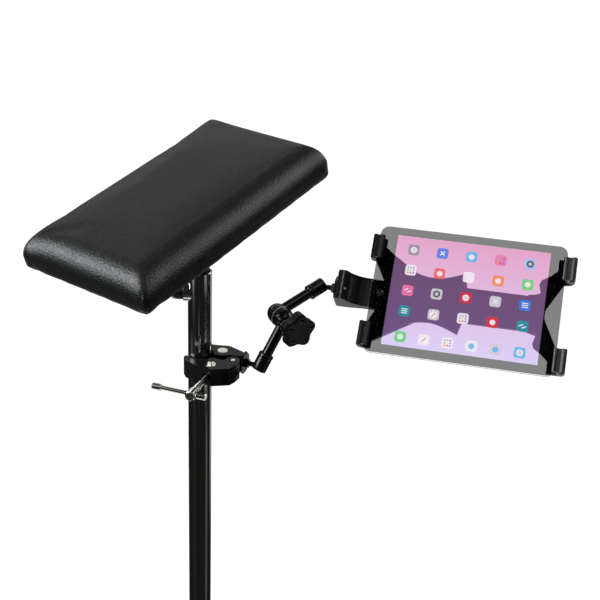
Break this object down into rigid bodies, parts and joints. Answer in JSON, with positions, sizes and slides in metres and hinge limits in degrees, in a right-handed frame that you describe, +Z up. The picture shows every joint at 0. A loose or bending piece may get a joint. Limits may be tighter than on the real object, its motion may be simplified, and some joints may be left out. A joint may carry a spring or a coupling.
{
  "type": "padded rest stand with tablet holder",
  "caption": "Upholstered tilting rest pad on a chromed floor post, with a clamped ball-jointed arm that carries an adjustable tablet holder and a tablet.",
  "frame": {"origin": "on the post axis at the underside of the centre foot, where the stand meets the floor", "axes": "+Z up along the post, +X towards the tablet side, +Y away from the side the tablet faces"},
  "size_m": [0.6664, 0.4097, 0.9051],
  "materials": {
    "powder_coated_steel": "fine-textured black powder coat",
    "dark_chrome": "polished dark chrome",
    "bright_chrome": "polished",
    "zinc_steel": "bright zinc plated",
    "nickel_brass": "satin nickel plated",
    "black_anodised": "satin black anodised",
    "black_plastic": "fine grained",
    "black_rubber": "matte",
    "cover_leather": "soft embossed grain, semi-gloss",
    "foam": "open cell upholstery foam",
    "plywood": "raw plywood",
    "tablet_grey": "bead blasted",
    "display": "lit screen in pink to lilac",
    "tablet_glass": "polished cover glass"
  },
  "bodies": {
    "base": {"base_plate": "powder_coated_steel", "base_feet": "black_rubber", "centre_foot": "black_rubber", "base_hub": "dark_chrome", "base_bolt": "zinc_steel", "post_plug": "zinc_steel", "post_tube": "dark_chrome", "tube_bush": "black_plastic", "lock_boss": "bright_chrome"},
    "height_lock": {"height_knob": "black_plastic", "height_screw": "zinc_steel"},
    "stem": {"stem_rod": "powder_coated_steel"},
    "head": {"swivel_head": "powder_coated_steel", "swivel_screw": "zinc_steel", "tilt_bolt": "zinc_steel", "tilt_washers": "zinc_steel"},
    "tilt_lock": {"tilt_knob": "black_plastic"},
    "pad": {"mount_plate": "powder_coated_steel", "tilt_lug": "powder_coated_steel", "mount_screws": "zinc_steel", "pad_board": "plywood", "pad_foam": "foam", "pad_cover": "cover_leather"},
    "clamp_ride": {"rear_liner": "black_rubber"},
    "clamp": {"clamp_body": "black_anodised", "clamp_pin": "nickel_brass"},
    "front_jaw": {"clamp_jaw": "black_anodised", "front_liner": "black_rubber"},
    "rear_barrel": {"rear_barrel": "nickel_brass"},
    "front_barrel": {"front_barrel": "nickel_brass"},
    "clamp_screw": {"clamp_screw": "nickel_brass"},
    "t_bar": {"t_bar": "nickel_brass", "t_bar_caps": "nickel_brass"},
    "lower_stud": {"stud_1": "black_anodised", "lock_disc_1": "black_anodised"},
    "lower_arm": {"socket_1": "black_anodised", "tube_1": "black_anodised", "push_rod_1": "zinc_steel", "elbow_head_1": "black_anodised", "elbow_bolt": "zinc_steel"},
    "star_knob": {"star_knob": "black_plastic"},
    "upper_arm": {"elbow_head_2": "black_anodised", "tube_2": "black_anodised", "socket_2": "black_anodised", "push_rod_2": "zinc_steel"},
    "upper_stud": {"stud_2": "black_anodised", "lock_disc_2": "black_anodised"},
    "holder": {"bracket": "black_plastic", "bracket_pin": "nickel_brass", "bracket_bolt": "zinc_steel", "bracket_nut": "zinc_steel", "plate_left": "black_plastic", "left_hook_liners": "black_rubber", "slide_screw": "powder_coated_steel"},
    "slide_nut": {"slide_nut": "black_plastic"},
    "right_side": {"plate_right": "black_plastic", "right_hook_liners": "black_rubber"},
    "tablet": {"tablet_shell": "tablet_grey", "tablet_display": "display", "tablet_glass": "tablet_glass"}
  },
  "joints": [
    {"name": "height_lock_turn", "type": "hinge", "parent": "base", "child": "height_lock", "pos_m": [0, 0, 0.7288], "axis": [-1, 0, 0], "range_deg": [0, 720]},
    {"name": "height", "type": "slide", "parent": "base", "child": "stem", "axis": [0, 0, 1], "range_m": [-0.01, 0.1]},
    {"name": "swivel", "type": "hinge", "parent": "stem", "child": "head", "pos_m": [0, 0, 0.79], "axis": [0, 0, 1], "range_deg": [-45, 45]},
    {"name": "tilt", "type": "hinge", "parent": "head", "child": "pad", "pos_m": [0, 0, 0.8095], "axis": [0.809, -0.5878, 0], "range_deg": [-20, 20]},
    {"name": "tilt_lock_turn", "type": "hinge", "parent": "head", "child": "tilt_lock", "pos_m": [0, 0, 0.8095], "axis": [0.809, -0.5878, 0], "range_deg": [0, 720]},
    {"name": "clamp_height", "type": "slide", "parent": "base", "child": "clamp_ride", "axis": [0, 0, 1], "range_m": [-0.25, 0]},
    {"name": "clamp_swing", "type": "hinge", "parent": "clamp_ride", "child": "clamp", "pos_m": [0, 0, 0.631], "axis": [0, 0, 1], "range_deg": [-60, 40]},
    {"name": "screw_turn", "type": "hinge", "parent": "rear_barrel", "child": "clamp_screw", "pos_m": [0.02768, 0.01141, 0.631], "axis": [0.309, 0.9511, 0], "range_deg": [-720, 0]},
    {"name": "jaw_swing", "type": "hinge", "parent": "clamp", "child": "front_jaw", "pos_m": [0.0428, -0.01391, 0.631], "axis": [0, 0, 1], "range_deg": [0, 8]},
    {"name": "rear_barrel_swing", "type": "hinge", "parent": "clamp", "child": "rear_barrel", "pos_m": [0.02768, 0.01141, 0.631], "axis": [0, 0, 1], "range_deg": [0, 4]},
    {"name": "front_barrel_swing", "type": "hinge", "parent": "front_jaw", "child": "front_barrel", "pos_m": [0.01569, -0.0255, 0.631], "axis": [0, 0, 1], "range_deg": [-4, 0]},
    {"name": "t_bar_slide", "type": "slide", "parent": "clamp_screw", "child": "t_bar", "axis": [0.9511, -0.309, 0], "range_m": [-0.001, 0.034]},
    {"name": "lower_stud_spin", "type": "hinge", "parent": "clamp", "child": "lower_stud", "pos_m": [0.05596, 0.00232, 0.631], "axis": [0.9511, -0.309, 0], "range_deg": [-20, 15]},
    {"name": "lower_ball_swing", "type": "hinge", "parent": "lower_stud", "child": "lower_arm", "pos_m": [0.07688, -0.00448, 0.631], "axis": [-0.283, -0.8708, 0.402], "range_deg": [-20, 10]},
    {"name": "star_knob_turn", "type": "hinge", "parent": "lower_arm", "child": "star_knob", "pos_m": [0.10544, 0.01303, 0.68902], "axis": [0.5225, -0.8526, 0], "range_deg": [0, 720]},
    {"name": "elbow", "type": "hinge", "parent": "lower_arm", "child": "upper_arm", "pos_m": [0.10544, 0.01303, 0.68902], "axis": [0.5225, -0.8526, 0], "range_deg": [-30, 30]},
    {"name": "upper_ball_swing", "type": "hinge", "parent": "upper_arm", "child": "upper_stud", "pos_m": [0.14788, 0.06308, 0.71358], "axis": [0.0997, 0.4901, -0.8659], "range_deg": [-25, 20]},
    {"name": "holder_spin", "type": "hinge", "parent": "upper_stud", "child": "holder", "pos_m": [0.14788, 0.06308, 0.71358], "axis": [0.9799, -0.1994, 0], "range_deg": [-35, 35]},
    {"name": "slide_nut_turn", "type": "hinge", "parent": "holder", "child": "slide_nut", "pos_m": [0.29154, 0.03684, 0.71085], "axis": [0.1458, 0.7167, -0.682], "range_deg": [0, 720]},
    {"name": "width", "type": "slide", "parent": "holder", "child": "right_side", "axis": [0.9799, -0.1994, 0], "range_m": [0, 0.035]},
    {"name": "tablet_lift", "type": "slide", "parent": "holder", "child": "tablet", "axis": [0.136, 0.6683, 0.7314], "range_m": [0, 0.17]}
  ],
  "couplings": [
    {"joint": "jaw_swing", "follows": "screw_turn", "ratio": -0.011111},
    {"joint": "rear_barrel_swing", "follows": "screw_turn", "ratio": -0.0055556},
    {"joint": "front_barrel_swing", "follows": "screw_turn", "ratio": 0.0055556}
  ]
}
